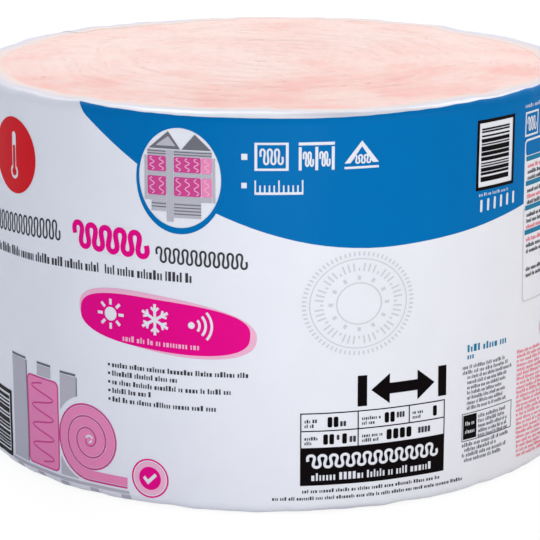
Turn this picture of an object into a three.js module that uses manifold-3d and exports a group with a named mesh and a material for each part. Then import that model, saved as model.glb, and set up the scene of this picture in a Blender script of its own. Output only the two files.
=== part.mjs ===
import * as THREE from "three";
import { mergeVertices } from "three/addons/utils/BufferGeometryUtils.js";
import Module from "manifold-3d";

// A roll of glass-wool insulation that stands on its end: one long batt, squeezed and wound on
// itself, in a printed film wrap that curls over both shoulders and laps on itself down the back.
// Millimetres, +Z up. The origin is the middle of the end that the roll stands on, and the
// printed front faces -Y.

// The batt, as it is sold: its width is the height of the standing roll.
const battWidth = 381;
const battLength = 11938;

// The roll, measured over one layer of the wrap.
const rollDiameter = 600;
const woolShoulder = 9;

// The seam between one turn and the next, as it opens at each end of the roll: a narrow bottom
// and sides that slope out to the face.
const seamBottomWidth = 1.5;
const seamSideSlope = 2.5;
const seamDepth = 6;
const seamEndMargin = 6;

// The film wrap.
const filmThickness = 0.6;
const filmClearance = 0.3;
const lipWidth = 23;
const lipSetBack = 0.3;
const lapLength = 60;
const lapClimb = 45;
const lapMiddle = THREE.MathUtils.degToRad(135);

// How finely the round forms are divided.
const roundSides = 80;
const shoulderSides = 4;
const seamSidesPerTurn = 36;
const cutOvershoot = 1;

// What follows from the sizes above.
const rollRadius = rollDiameter / 2;
const woolRadius = rollRadius - filmThickness - filmClearance;
const lapStep = filmThickness + filmClearance;
const lipSeat = lipSetBack + lapStep + filmThickness + filmClearance;
const lipInnerRadius = rollRadius - lipWidth;
const faceRadius = lipInnerRadius - filmClearance;
const turnPitch = (Math.PI * woolRadius ** 2) / battLength;

const wasm = await Module();
wasm.setup();

function toSolid(geometry) {
  const bare = geometry.clone();
  bare.deleteAttribute("normal");
  bare.deleteAttribute("uv");
  const merged = mergeVertices(bare, 1e-4);
  return new wasm.Manifold(
    new wasm.Mesh({
      numProp: 3,
      vertProperties: merged.attributes.position.array,
      triVerts: Uint32Array.from(merged.index.array),
    }),
  );
}

function toGeometry(solid) {
  const mesh = solid.getMesh();
  const geometry = new THREE.BufferGeometry();
  geometry.setAttribute("position", new THREE.BufferAttribute(mesh.vertProperties, 3));
  geometry.setIndex(new THREE.BufferAttribute(mesh.triVerts, 1));
  geometry.computeVertexNormals();
  return geometry;
}

function named(name, geometry, color, roughness) {
  const material = new THREE.MeshStandardMaterial({ color, roughness, metalness: 0 });
  const mesh = new THREE.Mesh(geometry, material);
  mesh.name = name;
  return mesh;
}

// The outline that the wrap covers, offset outward from the wool: a point is (radius, height).
// It runs from the lower lip's edge, round the lower shoulder, up the side and over the upper
// shoulder to the upper lip's edge.
function wrappedOutline(offset, edgeRadius) {
  const bendRadius = woolShoulder + offset;
  const bendMiddle = woolRadius - woolShoulder;
  const lowerBend = lipSeat + woolShoulder;
  const upperBend = battWidth - lipSeat - woolShoulder;
  const points = [new THREE.Vector2(edgeRadius, lowerBend - bendRadius)];
  for (let i = 0; i <= shoulderSides; i += 1) {
    const turn = (-Math.PI / 2) * (1 - i / shoulderSides);
    points.push(
      new THREE.Vector2(bendMiddle + bendRadius * Math.cos(turn), lowerBend + bendRadius * Math.sin(turn)),
    );
  }
  for (let i = 0; i <= shoulderSides; i += 1) {
    const turn = (Math.PI / 2) * (i / shoulderSides);
    points.push(
      new THREE.Vector2(bendMiddle + bendRadius * Math.cos(turn), upperBend + bendRadius * Math.sin(turn)),
    );
  }
  points.push(new THREE.Vector2(edgeRadius, upperBend + bendRadius));
  return points;
}

// The seam between turns is an Archimedean spiral: each turn is one squeezed batt thick. The
// batt's folded nose fills the middle, so the seam starts half a batt out.
function seamOutline() {
  const startRadius = turnPitch / 2;
  const endRadius = faceRadius - seamEndMargin;
  const turns = (endRadius - startRadius) / turnPitch;
  const sides = Math.ceil(turns * seamSidesPerTurn);
  const outer = [];
  const inner = [];
  for (let i = 0; i <= sides; i += 1) {
    const angle = 2 * Math.PI * turns * (i / sides);
    const radius = startRadius + turnPitch * turns * (i / sides);
    const along = new THREE.Vector2(Math.cos(angle), Math.sin(angle));
    outer.push(along.clone().multiplyScalar(radius + seamBottomWidth / 2));
    inner.push(along.clone().multiplyScalar(radius - seamBottomWidth / 2));
  }
  return new THREE.Shape([...outer, ...inner.reverse()]);
}

// A cutter for the seam. Its full width runs from the given height up by the overshoot, and it
// narrows to the seam's bottom one seam depth beyond that at either end.
function seamCutter(height) {
  const cutter = new THREE.ExtrudeGeometry(seamOutline(), {
    depth: cutOvershoot,
    bevelThickness: seamDepth,
    bevelSize: seamSideSlope,
    bevelSegments: 1,
  });
  cutter.translate(0, 0, height);
  return toSolid(cutter);
}

// The wool is one turned solid: flat ends, round shoulders set back for the film's lips, and the
// seam of its turns cut into both ends. Its first corner is on +X, as the film's stations are.
function glassWoolRoll() {
  const profile = [
    new THREE.Vector2(0, 0),
    new THREE.Vector2(faceRadius, 0),
    ...wrappedOutline(0, faceRadius),
    new THREE.Vector2(faceRadius, battWidth),
    new THREE.Vector2(0, battWidth),
  ];
  const turned = new THREE.LatheGeometry(profile, roundSides, Math.PI / 2);
  turned.rotateX(Math.PI / 2);
  const lowerSeam = seamCutter(-cutOvershoot);
  const upperSeam = seamCutter(battWidth);
  return toGeometry(toSolid(turned).subtract(lowerSeam).subtract(upperSeam));
}

// How far the film stands off the layer below it, at an angle past the head of the wrap: nothing
// for most of the way round, and one film step from where the tail meets the head again.
function lapRise(travel) {
  const climb = lapClimb / rollRadius;
  const done = THREE.MathUtils.clamp((travel - (2 * Math.PI - climb)) / climb, 0, 1);
  return lapStep * THREE.MathUtils.smoothstep(done, 0, 1);
}

// The stations of the wrap, as travel past its head. Between its two ends they fall on the
// wool's own corners.
function wrapStations(headAngle) {
  const side = (2 * Math.PI) / roundSides;
  const end = 2 * Math.PI + lapLength / rollRadius;
  const stations = [0];
  for (let i = Math.floor(headAngle / side) + 1; i * side - headAngle < end; i += 1) {
    stations.push(i * side - headAngle);
  }
  stations.push(end);
  return stations;
}

// One section of the film at a station, as a closed ring of points.
function wrapRing(headAngle, travel) {
  const rise = lapRise(travel);
  const under = wrappedOutline(filmClearance + rise, lipInnerRadius);
  const over = wrappedOutline(filmClearance + rise + filmThickness, lipInnerRadius);
  const section = [...over, ...under.reverse()];
  const angle = headAngle + travel;
  return section.map(
    (point) => new THREE.Vector3(point.x * Math.cos(angle), point.x * Math.sin(angle), point.y),
  );
}

// A closed body through a row of like rings, with both ends capped.
function loft(rings) {
  const size = rings[0].length;
  const index = [];
  for (let k = 0; k + 1 < rings.length; k += 1) {
    for (let i = 0; i < size; i += 1) {
      const here = k * size + i;
      const next = k * size + ((i + 1) % size);
      index.push(here, here + size, next);
      index.push(next, here + size, next + size);
    }
  }
  const flat = rings[0].map((point) => new THREE.Vector2(Math.hypot(point.x, point.y), point.z));
  const last = (rings.length - 1) * size;
  for (const [a, b, c] of THREE.ShapeUtils.triangulateShape(flat, [])) {
    index.push(a, b, c);
    index.push(last + a, last + c, last + b);
  }
  const geometry = new THREE.BufferGeometry().setFromPoints(rings.flat());
  geometry.setIndex(index);
  geometry.computeVertexNormals();
  return geometry;
}

// The printed film: a thin sheet once round the roll and a little more, with a lip over each
// shoulder, its tail lying on its head.
function printedWrap() {
  const headAngle = lapMiddle - lapLength / rollRadius / 2;
  return loft(wrapStations(headAngle).map((travel) => wrapRing(headAngle, travel)));
}

const insulationRoll = new THREE.Group();
insulationRoll.name = "insulation_roll";
insulationRoll.add(named("glass_wool_roll", glassWoolRoll(), 0xf7cfc9, 1));
insulationRoll.add(named("printed_wrap", printedWrap(), 0xf0f1f6, 0.35));

export default insulationRoll;
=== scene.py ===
"""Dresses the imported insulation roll. The squeezed glass wool shows its turns and fibres at both ends, a
thin film wrap curls over both shoulders and laps on itself down the back, and the print lies on the film."""

import random
from functools import partial
from math import asin, atan2, ceil, copysign, cos, exp, floor, hypot, pi, radians, sin, sqrt

import bpy
import numpy as np
from bpy.props import FloatProperty, FloatVectorProperty, IntProperty, PointerProperty
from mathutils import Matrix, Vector, noise
from mathutils.geometry import delaunay_2d_cdt


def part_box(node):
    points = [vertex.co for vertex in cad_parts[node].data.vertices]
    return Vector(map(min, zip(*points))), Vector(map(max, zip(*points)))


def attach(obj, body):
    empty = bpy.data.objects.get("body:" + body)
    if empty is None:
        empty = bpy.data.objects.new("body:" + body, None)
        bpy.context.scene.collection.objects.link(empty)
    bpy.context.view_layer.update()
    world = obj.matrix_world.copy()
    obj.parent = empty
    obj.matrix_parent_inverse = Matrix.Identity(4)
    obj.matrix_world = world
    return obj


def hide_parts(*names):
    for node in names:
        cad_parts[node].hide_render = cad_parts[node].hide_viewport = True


bl_info = {
    "name": "Insulation Roll",
    "version": (1, 0, 0),
    "blender": (4, 5, 0),
    "location": "View3D > Sidebar > Insulation",
    "description": "Builds the glass wool, the film wrap and the print of an insulation roll",
    "category": "Add Mesh",
}

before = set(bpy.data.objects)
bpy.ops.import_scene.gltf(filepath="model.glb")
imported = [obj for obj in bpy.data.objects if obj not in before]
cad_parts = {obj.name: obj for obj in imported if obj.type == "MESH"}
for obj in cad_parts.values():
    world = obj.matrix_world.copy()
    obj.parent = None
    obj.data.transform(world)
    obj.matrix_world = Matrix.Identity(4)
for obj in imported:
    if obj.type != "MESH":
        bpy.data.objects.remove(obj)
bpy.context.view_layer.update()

MM = 0.001
WOOL_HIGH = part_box("glass_wool_roll")[1]
WRAP_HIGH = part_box("printed_wrap")[1]

# Sizes in millimetres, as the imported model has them. A film layer is the film with its clearance.
HEIGHT = WOOL_HIGH[2] / MM
WOOL_RADIUS = WOOL_HIGH[0] / MM
FILM_RADIUS = WRAP_HIGH[0] / MM
BATT_LENGTH = 11938.0
TURN_PITCH = pi * WOOL_RADIUS**2 / BATT_LENGTH
LIP_WIDTH = 23.0
WOOL_SHOULDER = 9.0
FILM_LAYER = 0.9
SHOULDER = WOOL_SHOULDER + FILM_LAYER
LIP_SEAT = 2.1
LAP_LENGTH = 60.0
LAP_CLIMB = 45.0
LAP_MIDDLE = radians(135)
LAP_HEAD = LAP_MIDDLE - LAP_LENGTH / FILM_RADIUS / 2

# Heights on the film where its side ends and a shoulder begins.
LOWER_BEND = LIP_SEAT + WOOL_SHOULDER
UPPER_BEND = HEIGHT - LOWER_BEND
BEND_LENGTH = SHOULDER * pi / 2


def linear(hex_text):
    """An sRGB hex colour as linear RGBA."""
    parts = [int(hex_text[i : i + 2], 16) / 255 for i in (1, 3, 5)]
    return tuple(c / 12.92 if c <= 0.04045 else ((c + 0.055) / 1.055) ** 2.4 for c in parts) + (1.0,)


def colour_property(name, hex_text, description):
    limits = {"size": 4, "min": 0.0, "max": 1.0}
    default = linear(hex_text)
    return FloatVectorProperty(name=name, description=description, default=default, subtype="COLOR", **limits)


def length_property(name, millimetres, description):
    kind = {"precision": 5, "subtype": "DISTANCE", "unit": "LENGTH"}
    return FloatProperty(name=name, description=description, default=millimetres * MM, **kind)


def power_property(name, watts, description):
    return FloatProperty(name=name, description=description, default=watts, unit="POWER")


class WoolSettings(bpy.types.PropertyGroup):
    pale: colour_property("Pale wool", "#FADAD4", "Colour of most of the wool")
    rose: colour_property("Rose wool", "#F8BEB7", "Colour where the dye took more")
    cream: colour_property("Cream wool", "#FBE6E0", "Colour where the dye took less")
    fleck: colour_property("Fleck", "#E2A8A0", "Colour of the small dark flecks of binder")
    crown: length_property("Crown", 1.2, "How far the middle of an end swells")
    lump: length_property("Lumps", 1.0, "Height of the soft lumps along each turn")
    seam_depth: length_property("Seam depth", 1.2, "Depth of the seam between two turns")
    seam_width: length_property("Seam width", 2.4, "Half width of the seam between two turns")
    fibres: IntProperty(name="Loose fibres", description="Fibre bundles on the top end", default=3000, min=0)
    fibre_radius: length_property("Fibre radius", 0.06, "Radius of one bundle of fibres")


class FilmSettings(bpy.types.PropertyGroup):
    white: colour_property("Film", "#EDF0F8", "Colour of the bare film")
    # The lip's edge is the wool's pink showing through the thin film, and it is painted darker too: part real
    # colour, part painted shade.
    blush: colour_property("Lip edge", "#DDC4BC", "Colour of the lip's edge, where the wool shows through")
    # The flat lip is pink-grey from the wool below and painted darker still: part real colour, part painted
    # shade.
    pale: colour_property("Lip", "#D6C6C6", "Colour of the lip where it lies flat")
    # The shoulder's grey is painted shade where the film turns over.
    turned: colour_property("Shoulder", "#C2C3D2", "Colour of the film where it turns over the shoulder")
    thickness: length_property("Thickness", 0.25, "Thickness of the film")
    slack: length_property("Slack", 2.0, "Depth of the film's slow waves round the side")
    pucker: length_property("Pucker", 0.6, "Depth of the gathers where a lip curls in")
    lip_wander: length_property("Lip wander", 13.0, "How far the lip's cut edge wanders")
    lap_step: length_property("Lap step", 0.32, "How far the tail lies over the head at the lap")


class InkSettings(bpy.types.PropertyGroup):
    blue: colour_property("Blue", "#0072B8", "Ink of the band and of the medallion's ring")
    magenta: colour_property("Magenta", "#EC0A8C", "Ink of the badge and the bold hatch")
    fuchsia: colour_property("Fuchsia", "#D24C95", "Ink of the medallion's deeper batts and of outlines")
    pink: colour_property("Pink", "#F08EBD", "Ink of the pictured batts")
    blush: colour_property("Blush", "#F4BAD6", "Ink of the badge's halo, the stamp and the batts' hatches")
    rose: colour_property("Rose", "#FA8A9B", "Ink of the pink column and of the side panel's warm lines")
    red: colour_property("Red", "#DE1E2A", "Ink of the heat signs")
    black: colour_property("Black", "#0A0508", "Ink of the frames, the table and the thickness sign")
    grey: colour_property("Grey", "#3F3F47", "Ink of the fine lines")
    soft: colour_property("Soft grey", "#74757E", "Ink of the smallest print, pictured roofs and shades")
    stud: colour_property("Stud grey", "#BEBDC8", "Ink of the pictured studs")
    faint: colour_property("Faint grey", "#D3D5DD", "Ink of the seal and of the side outline")
    teal: colour_property("Teal", "#1F7FA8", "Ink of the headings and of the side panel's rules")


class StageSettings(bpy.types.PropertyGroup):
    floor: colour_property("Floor", "#D8D8DB", "Colour of the floor as the light finds it")
    sky: FloatProperty(name="Sky", description="Strength of the even light", default=0.62, min=0.0)
    key: power_property("Key lamp", 23.0, "Power of the key lamp")
    front: power_property("Front lamp", 2.5, "Power of the low front lamp")
    back: power_property("Back lamp", 264.0, "Power of the lamp behind")
    camera_distance: length_property("Camera distance", 2560.84, "From the roll's axis, along the floor")
    camera_height: length_property("Camera height", 807.11, "Above the floor")
    camera_aside: length_property("Camera aside", -2.95, "Sideways from the roll's axis")
    camera_pitch: FloatProperty(
        name="Camera pitch",
        description="Downward tilt of the camera",
        default=radians(14.1665),
        subtype="ANGLE",
        unit="ROTATION",
    )
    focal: FloatProperty(name="Lens", description="Focal length for a 36 mm sensor", default=170.654)


# --- Meshes and materials ---------------------------------------------------------------------------------

# The film's mesh attribute for the distance from the nearer lip's cut edge, and how much its haze darkens it.
LIP_DISTANCE = "lip_distance"
FILM_HAZE = 0.06

# Directions turn fast near the roll's axis, so inside about this radius streaks and lumps calm down.
CALM_RADIUS = 30.0


def link_object(name, data):
    obj = bpy.data.objects.new(name, data)
    bpy.context.scene.collection.objects.link(obj)
    return obj


def make_object(name, vertices, faces, materials, slot_name, face_material=None):
    """A smooth-shaded mesh object from millimetre vertices, riding on the roll."""
    mesh = bpy.data.meshes.new(name)
    mesh.from_pydata([tuple(v) for v in np.asarray(vertices) * MM], [], faces)
    for material in materials:
        mesh.materials.append(material)
    if face_material is not None:
        mesh.polygons.foreach_set("material_index", face_material)
    mesh.polygons.foreach_set("use_smooth", [True] * len(mesh.polygons))
    mesh.validate()
    mesh.update()
    obj = link_object(name, mesh)
    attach(obj, "root")
    return obj


def add_node(tree, kind, inputs=None, output=0, stops=(), **settings):
    """Add a node with its settings, its inputs set to values or linked from other sockets, and a ramp's
    stops. Returns the output that is asked for."""
    node = tree.nodes.new("ShaderNode" + kind)
    for key, value in settings.items():
        setattr(node, key, value)
    for key, value in (inputs or {}).items():
        if isinstance(value, bpy.types.NodeSocket):
            tree.links.new(value, node.inputs[key])
        else:
            node.inputs[key].default_value = value
    for n, (position, colour) in enumerate(stops):
        elements = node.color_ramp.elements
        element = elements[n] if n < 2 else elements.new(position)
        element.position = position
        element.color = colour
    return node.outputs[output] if node.outputs else None


def node_adder(owner):
    """Clear a material's or a world's nodes, and return the function that adds nodes to it."""
    owner.use_nodes = True
    owner.node_tree.nodes.clear()
    return partial(add_node, owner.node_tree)


def noise_along_turns(add, streak, grain, detail, roughness):
    """Noise that follows the turns: its features grow long round the roll's axis, each about a radius over
    streak long, and one grain (in millimetres) wide across it."""
    place = add("TexCoord", output="Object")
    flat = add("VectorMath", {0: place, 1: (1.0, 1.0, 0.0)}, operation="MULTIPLY")
    radius = add("VectorMath", {0: flat}, "Value", operation="LENGTH")
    calm = add("Math", {0: radius, 1: CALM_RADIUS * MM})
    pace = add("Math", {0: streak, 1: calm}, operation="DIVIDE")
    round_part = add("VectorMath", {0: flat, "Scale": pace}, operation="SCALE")
    across = add("Math", {0: radius, 1: grain * MM}, operation="DIVIDE")
    depth = add("Math", {0: add("SeparateXYZ", {0: place}, "Z"), 1: grain * MM * 3}, operation="DIVIDE")
    lift = add("CombineXYZ", {"Z": add("Math", {0: across, 1: depth})})
    along = add("VectorMath", {0: round_part, 1: lift})
    return add("TexNoise", {"Vector": along, "Scale": 1.0, "Detail": detail, "Roughness": roughness})


def lip_share(add, near, far):
    """0 on the film up to the near distance from its lip's cut edge, and 1 beyond the far one."""
    curl = add("Attribute", output="Fac", attribute_name=LIP_DISTANCE)
    return add("MapRange", {"Value": curl, "From Min": near * MM, "From Max": far * MM})


def spun_glass_wool(name, wool):
    """Glass wool, spun and felted: its layers of fine fibre lie along the turns, so the eye sees soft streaks
    of paler and rosier pink that never shine. A streak stands for a bundle of fibres."""
    material = bpy.data.materials.new(name)
    add = node_adder(material)
    place = add("TexCoord", output="Object")
    streaks = noise_along_turns(add, 5.0, 7.0, 4.0, 0.6)
    tone = add("ValToRGB", {"Fac": streaks}, stops=[(0.22, wool.rose), (0.8, wool.cream), (0.5, wool.pale)])
    apart = add("VectorMath", {0: place, 1: (-2.55, -1.56, -0.6)})
    patches = add("TexNoise", {"Vector": apart, "Scale": 1 / 0.08, "Detail": 3.0, "Roughness": 0.55})
    # Rosier towards the front and sides of the rim, where the dye took more. Paler towards the back, which is
    # painted light that brightens the back of the end.
    shift = add("VectorMath", {0: place, 1: (0.0, -0.1, -HEIGHT * MM)})
    middle = add("VectorMath", {0: shift}, "Value", operation="LENGTH")
    dye_and_painted_light = add("MapRange", {"Value": middle, "From Min": 0.34, "From Max": 0.14, "To Max": 0.18})
    patch_stops = [(0.41, wool.rose), (0.78, wool.cream), (0.585, wool.pale)]
    patch_tone = add("ValToRGB", {"Fac": add("Math", {0: dye_and_painted_light, 1: patches})}, stops=patch_stops)
    even = add("Mix", {0: 0.68, 6: tone, 7: patch_tone}, 2, data_type="RGBA")
    specks = noise_along_turns(add, 14.0, 7.0, 2.0, 0.5)
    speck_share = add("MapRange", {"Value": specks, "From Min": 0.66, "From Max": 0.78, "To Max": 0.6})
    colour = add("Mix", {0: speck_share, 6: even, 7: wool.fleck}, 2, data_type="RGBA")
    hairs = noise_along_turns(add, 16.0, 1.1, 3.0, 0.65)
    lumps = add("TexNoise", {"Vector": place, "Scale": 1 / 0.006, "Detail": 3.0, "Roughness": 0.6})
    height = add("Math", {0: hairs, 1: lumps})
    surface = {
        "Base Color": colour,
        "Roughness": 0.95,
        "IOR": 1.5,
        "Specular IOR Level": 0.15,
        "Sheen Weight": 0.12,
        "Sheen Roughness": 0.6,
        "Sheen Tint": (1.0, 0.93, 0.9, 1.0),
        "Normal": add("Bump", {"Strength": 0.4, "Distance": 0.0014, "Height": height}),
    }
    add("OutputMaterial", {"Surface": add("BsdfPrincipled", surface)})
    return material


def fibre_bundles(name, wool):
    """Loose bundles of glass fibre: light soaks through them, so they stay as pale as the wool they lie on,
    and the dye has taken more in some than in others."""
    material = bpy.data.materials.new(name)
    add = node_adder(material)
    dye = add("TexNoise", {"Vector": add("TexCoord", output="Object"), "Scale": 1 / 0.012, "Detail": 2.0})
    surface = {
        "Base Color": add("ValToRGB", {"Fac": dye}, stops=[(0.35, wool.pale), (0.6, wool.cream)]),
        "Roughness": 0.6,
        "IOR": 1.5,
        "Specular IOR Level": 0.15,
        "Subsurface Weight": 0.8,
        "Subsurface Radius": (1.0, 0.85, 0.8),
        "Subsurface Scale": 0.0005,
    }
    add("OutputMaterial", {"Surface": add("BsdfPrincipled", surface)})
    return material


def blown_film(name, colour, gloss, lip_tint_and_painted_shade=None):
    """Blown polythene film, with or without ink on it: a soft, slightly uneven sheen, and a faint unevenness
    that the wool below presses into it. The wool's pink shows through a bare lip and fades outward; over the
    lip and the shoulder the colour is also painted darker, as painted shade."""
    material = bpy.data.materials.new(name)
    add = node_adder(material)
    place = add("TexCoord", output="Object")
    haze = add("TexNoise", {"Vector": place, "Scale": 1 / 0.045, "Detail": 3.0, "Roughness": 0.6})
    darker = tuple(c * (1 - FILM_HAZE) for c in colour[:3]) + (1.0,)
    tone = add("Mix", {0: haze, 6: colour, 7: darker}, 2, data_type="RGBA")
    # The lip ramp: the wool's pink shows through near the cut edge, and the lip is painted darker as shade.
    # The shoulder is painted grey shade.
    if lip_tint_and_painted_shade is not None:
        edge, flat, turned = lip_tint_and_painted_shade
        stops = [(0.0, edge), (1.0, turned), (0.45, flat)]
        lip = add("ValToRGB", {"Fac": lip_share(add, 0.0, 17.0)}, stops=stops)
        tone = add("Mix", {0: lip_share(add, 17.5, 27.0), 6: lip, 7: tone}, 2, data_type="RGBA")
    sheen = {"Value": haze, "From Min": 0.3, "From Max": 0.7, "To Min": 0.34, "To Max": 0.46}
    pressed = add("TexNoise", {"Vector": place, "Scale": 1 / 0.011, "Detail": 2.0})
    surface = {
        "Base Color": tone,
        "Roughness": add("MapRange", sheen),
        "IOR": 1.51,
        "Specular IOR Level": gloss,
        "Normal": add("Bump", {"Strength": 0.2, "Distance": 0.0007, "Height": pressed}),
    }
    add("OutputMaterial", {"Surface": add("BsdfPrincipled", surface)})
    return material


# --- The wool ---------------------------------------------------------------------------------------------

WOOL_SEED = Vector((3.1, 7.7, 1.9))

# How far out an end's grid reaches, and how far the floor presses into the lower end's relief.
FACE_RADIUS = 287.0
FLOOR_PRESS = 0.6

# The grid of an end: its steps round the roll, its rows across one turn as shares of it, and how near a point
# comes to the middle or to the rim before it becomes one with it.
ROUND_STEPS = 360
TURN_ROWS_TOP = (0.0, 0.035, 0.08, 0.14, 0.22, 0.32, 0.44, 0.56, 0.68, 0.78, 0.86, 0.92, 0.965)
TURN_ROWS_BOTTOM = (0.0, 0.08, 0.3, 0.7, 0.92)
MIDDLE_MERGE = 0.4
RIM_MERGE = 0.25

# The lip's cut edge wanders in slow waves, with finer ones on them.
LIP_SHRINK = -3.5
LIP_SEED = 345.71
LIP_FINE = 0.36

# The wool eases down to the lip over the soft edge, fills the shoulder all but the tuck, in rings at these
# degrees round it, and leaves the side slack between two rings that are inset from the shoulders.
EDGE_SOFT = 46.0
TUCK = 0.4
SHOULDER_TURNS = (83, 62, 38, 14)
SIDE_SLACK = 3.2
SIDE_INSET = 8.0

# A bundle of fibres is laid in steps, and it stops clear of the film's lip.
FIBRE_STEPS = 5
FIBRE_LENGTHS = (7, 26)
FIBRE_CLEAR = 1.5


def smooth_share(value):
    """0 up to the value 0 and 1 from the value 1 on, with an eased way between them."""
    share = min(1.0, max(0.0, value))
    return share * share * (3 - 2 * share)


def around(radius, angle, z):
    """The place at a radius and an angle round the roll's axis."""
    return (radius * cos(angle), radius * sin(angle), z)


def ring_noise(way, pace, third, seed=Vector()):
    """Noise round a ring: way is where on it, pace how fast the noise changes round it, and third how far
    along the noise's other axis."""
    return noise.noise(Vector((way[0] * pace, way[1] * pace, third)) + seed)


def lip_edge(angle, film):
    """Radius at which the lip's cut edge lies, in millimetres."""
    way = (cos(angle), sin(angle))
    wander = ring_noise(way, 1.8, LIP_SEED) + LIP_FINE * ring_noise(way, 5.5, LIP_SEED + 40)
    return FILM_RADIUS - LIP_WIDTH + LIP_SHRINK + film.lip_wander / MM * wander


def filled_place(angle, bend, upper, film, flat=0.0):
    """Radius and height of the wool's skin inside the film, where the film has bent by this angle over a
    shoulder and then run flat for a way."""
    over = bend * SHOULDER + flat
    stand = SHOULDER - TUCK + film_relief(angle, UPPER_BEND + over if upper else LOWER_BEND - over, film)
    height = UPPER_BEND + stand * sin(bend) if upper else LOWER_BEND - stand * sin(bend)
    return FILM_RADIUS - SHOULDER + stand * cos(bend) - flat, height


def wool_relief(radius, angle, seam_distance, wool, seed):
    """Height of the wool's end above its plane, in millimetres: a low crown, a broad swell, lumps and tufts
    drawn out along the turns, a fine nap, and the seam between two turns, which opens and closes."""
    calm = radius / (radius + CALM_RADIUS)
    way = (cos(angle) * calm, sin(angle) * calm)
    x, y, _ = around(radius, angle, 0.0)
    crown = wool.crown / MM * (1 - min(1.0, radius / FACE_RADIUS) ** 2)
    swell = 1.2 * noise.noise(Vector((x / 150, y / 150, 0.3)) + seed)
    lumps = wool.lump / MM * ring_noise(way, 6, radius / 9, seed)
    tufts = 0.4 * ring_noise(way, 16, radius / 3.4, seed)
    nap = 0.22 * noise.noise(Vector((x / 6.5, y / 6.5, 5.0)) + seed)
    openness = 0.4 + 0.8 * ring_noise(way, 2.2, radius / 30, seed)
    groove = max(0.1, openness) * exp(-((seam_distance * MM / wool.seam_width) ** 2))
    return crown + swell + lumps + tufts + nap - wool.seam_depth / MM * groove


def end_height(radius, angle, seam_distance, upper, wool, film):
    """Height of one end's skin, which eases in to pass under the film's lip. The roll's weight presses the
    lower end flat on the floor between its seams."""
    under = smooth_share((radius - lip_edge(angle, film) + EDGE_SOFT) / EDGE_SOFT)
    relief = wool_relief(radius, angle, seam_distance, wool, WOOL_SEED if upper else WOOL_SEED * 2)
    bare = HEIGHT + relief if upper else max(0.0, FLOOR_PRESS - relief)
    filled = filled_place(angle, pi / 2, upper, film, FILM_RADIUS - SHOULDER - radius)[1]
    return bare * (1 - under) + filled * under


def spiral_end(rows, upper, wool, film):
    """One end of the roll on a grid that follows its turns, so that a row of vertices runs along the seam.
    Returns its vertices, its faces and the vertices of its outer edge in order round the roll."""

    def place(radius, angle, seam_distance):
        return around(radius, angle, end_height(radius, angle, seam_distance, upper, wool, film))

    row_count = len(rows)
    turns = ceil(FACE_RADIUS / TURN_PITCH) + 1
    vertices, faces = [place(0.0, 0.0, TURN_PITCH / 2)], []
    vertices += [place(FACE_RADIUS, 2 * pi * k / ROUND_STEPS, TURN_PITCH) for k in range(ROUND_STEPS)]
    middle, rim = 0, range(1, ROUND_STEPS + 1)
    grid = {}

    def vertex(k, i):
        if k == ROUND_STEPS:
            k, i = 0, i + row_count
        if (k, i) not in grid:
            share = rows[i % row_count]
            radius = TURN_PITCH * (k / ROUND_STEPS - 0.5 + i // row_count + share)
            if radius <= MIDDLE_MERGE:
                grid[k, i] = middle
            elif radius >= FACE_RADIUS - RIM_MERGE:
                grid[k, i] = rim[k]
            else:
                grid[k, i] = len(vertices)
                seam_distance = TURN_PITCH * (1 if radius < TURN_PITCH / 2 else min(share, 1 - share))
                vertices.append(place(radius, 2 * pi * k / ROUND_STEPS, seam_distance))
        return grid[k, i]

    for k in range(ROUND_STEPS):
        for i in range(-row_count, row_count * turns):
            corners = [vertex(k, i), vertex(k, i + 1), vertex(k + 1, i + 1), vertex(k + 1, i)]
            loop = [c for n, c in enumerate(corners) if c != corners[n - 1]]
            if len(set(loop)) == len(loop) and len(loop) >= 3:
                faces.append(tuple(loop if upper else reversed(loop)))
    return vertices, faces, rim


def wool_mesh(wool, film):
    """The whole closed skin of the wool: both ends, the rounded edge under each lip and the covered side."""
    vertices, faces, top_rim = spiral_end(TURN_ROWS_TOP, True, wool, film)
    low_vertices, low_faces, low_rim = spiral_end(TURN_ROWS_BOTTOM, False, wool, film)
    shift = len(vertices)
    vertices += low_vertices
    faces += [tuple(c + shift for c in face) for face in low_faces]
    # From the upper face's edge round the upper shoulder, down the side and round the lower shoulder.
    bends = [radians(turn) for turn in SHOULDER_TURNS]
    places = [(bend, True) for bend in bends] + [None, None] + [(bend, False) for bend in reversed(bends)]
    rings = [top_rim]
    for n, place in enumerate(places):
        rings.append(range(len(vertices), len(vertices) + ROUND_STEPS))
        for k in range(ROUND_STEPS):
            angle = 2 * pi * k / ROUND_STEPS
            if place is None:
                radius = FILM_RADIUS - SIDE_SLACK
                z = UPPER_BEND - SIDE_INSET if n == len(bends) else LOWER_BEND + SIDE_INSET
            else:
                radius, z = filled_place(angle, *place, film)
            vertices.append(around(radius, angle, z))
    rings.append([c + shift for c in low_rim])
    for upper, lower in zip(rings, rings[1:]):
        for k in range(ROUND_STEPS):
            n = (k + 1) % ROUND_STEPS
            faces.append((upper[k], lower[k], lower[n], upper[n]))
    return vertices, faces


def fibre_tube(path, radius, vertices, faces):
    """A three-sided tube along a path, drawn to a point at both ends."""
    rings = []
    for n, point in enumerate(path):
        ahead = path[min(n + 1, len(path) - 1)] - path[max(n - 1, 0)]
        aside = ahead.cross(Vector((0, 0, 1))).normalized()
        up = aside.cross(ahead).normalized()
        turns = [2 * pi * s / 3 for s in range(3)]
        ring = [point + radius * (cos(turn) * aside + sin(turn) * up) for turn in turns]
        if n in (0, len(path) - 1):
            ring = [point]
        rings.append(range(len(vertices), len(vertices) + len(ring)))
        vertices += ring
    for first, second in zip(rings, rings[1:]):
        for s in range(3):
            n = (s + 1) % 3
            if len(first) == 1:
                faces.append((first[0], second[n], second[s]))
            elif len(second) == 1:
                faces.append((first[s], first[n], second[0]))
            else:
                faces.append((first[s], first[n], second[n], second[s]))


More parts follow.
